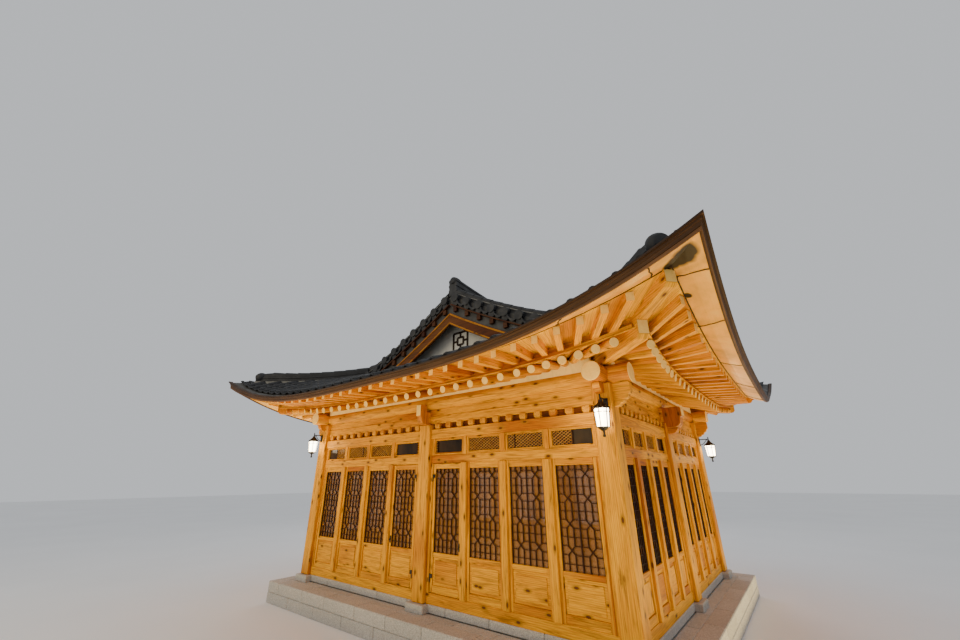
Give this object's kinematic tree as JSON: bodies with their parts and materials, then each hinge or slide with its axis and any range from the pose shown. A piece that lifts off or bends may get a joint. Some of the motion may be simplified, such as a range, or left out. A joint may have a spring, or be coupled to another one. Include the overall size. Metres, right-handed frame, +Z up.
{
  "type": "hanok house",
  "caption": "Traditional Korean timber house with glazed lattice doors, exposed rafters and a hip-and-gable tiled roof with upswept double eaves.",
  "frame": {"origin": "on the ground under the centre of the plan, at the underside of the stone platform", "axes": "+X along the front towards the house's right corner as seen from the front, +Y from the front to the back, +Z up; the front wall with the two hinged doors faces -Y"},
  "size_m": [11.1, 9.54, 7.0996],
  "materials": {
    "frame_pine": "oiled",
    "door_pine": "oiled",
    "floor_boards": "satin",
    "granite": "bush-hammered",
    "roof_tile": "matte",
    "plaster": "matte",
    "window_glass": "clear",
    "gutter_metal": "semi-gloss",
    "lantern_metal": "satin black"
  },
  "bodies": {
    "house": {"flying_rafters_front": "frame_pine", "flying_rafters_back": "frame_pine", "wall_front": "frame_pine", "flying_rafters_right": "frame_pine", "flying_rafters_left": "frame_pine", "wall_right": "frame_pine", "wall_back": "frame_pine", "wall_left": "frame_pine", "rafters_front": "frame_pine", "rafters_back": "frame_pine", "rafters_right": "frame_pine", "rafters_left": "frame_pine", "eave_gutter": "gutter_metal", "roof_slope_right": "roof_tile", "roof_slope_left": "roof_tile", "roof_skirt_front": "roof_tile", "roof_skirt_back": "roof_tile", "stone_platform": "granite", "corner_ridge_back_right": "roof_tile", "corner_ridge_front_left": "roof_tile", "corner_ridge_front_right": "roof_tile", "corner_ridge_back_left": "roof_tile", "purlin_front": "frame_pine", "purlin_right": "frame_pine", "purlin_back": "frame_pine", "purlin_left": "frame_pine", "bearing_front": "frame_pine", "bearing_back": "frame_pine", "bargeboard_front": "frame_pine", "bargeboard_back": "frame_pine", "gable_wall_front": "plaster", "gable_wall_back": "plaster", "floor": "floor_boards", "roof_frame": "frame_pine", "lantern_front_right": "lantern_metal", "lantern_front_left": "lantern_metal", "lantern_back_right": "lantern_metal", "hip_rafter_front_right": "frame_pine", "hip_rafter_back_right": "frame_pine", "hip_rafter_back_left": "frame_pine", "hip_rafter_front_left": "frame_pine", "main_ridge": "roof_tile", "glass_front": "window_glass", "tie_beam": "frame_pine", "cross_beam_front": "frame_pine", "cross_beam_back": "frame_pine", "ridge_purlin": "frame_pine", "column_front_right": "frame_pine", "column_back_right": "frame_pine", "column_back_left": "frame_pine", "column_front_left": "frame_pine", "glass_right": "window_glass", "glass_back": "window_glass", "glass_left": "window_glass"},
    "left_door": {"door_leaf_left": "door_pine", "door_glass_left": "window_glass"},
    "right_door": {"door_leaf_right": "door_pine", "door_glass_right": "window_glass"}
  },
  "joints": [
    {"name": "left_door_hinge", "type": "hinge", "parent": "house", "child": "left_door", "pos_m": [-0.224, -2.945, 0.689], "axis": [0, 0, 1], "range_deg": [0, 90]},
    {"name": "right_door_hinge", "type": "hinge", "parent": "house", "child": "right_door", "pos_m": [0.224, -2.945, 0.689], "axis": [0, 0, -1], "range_deg": [0, 90]}
  ]
}
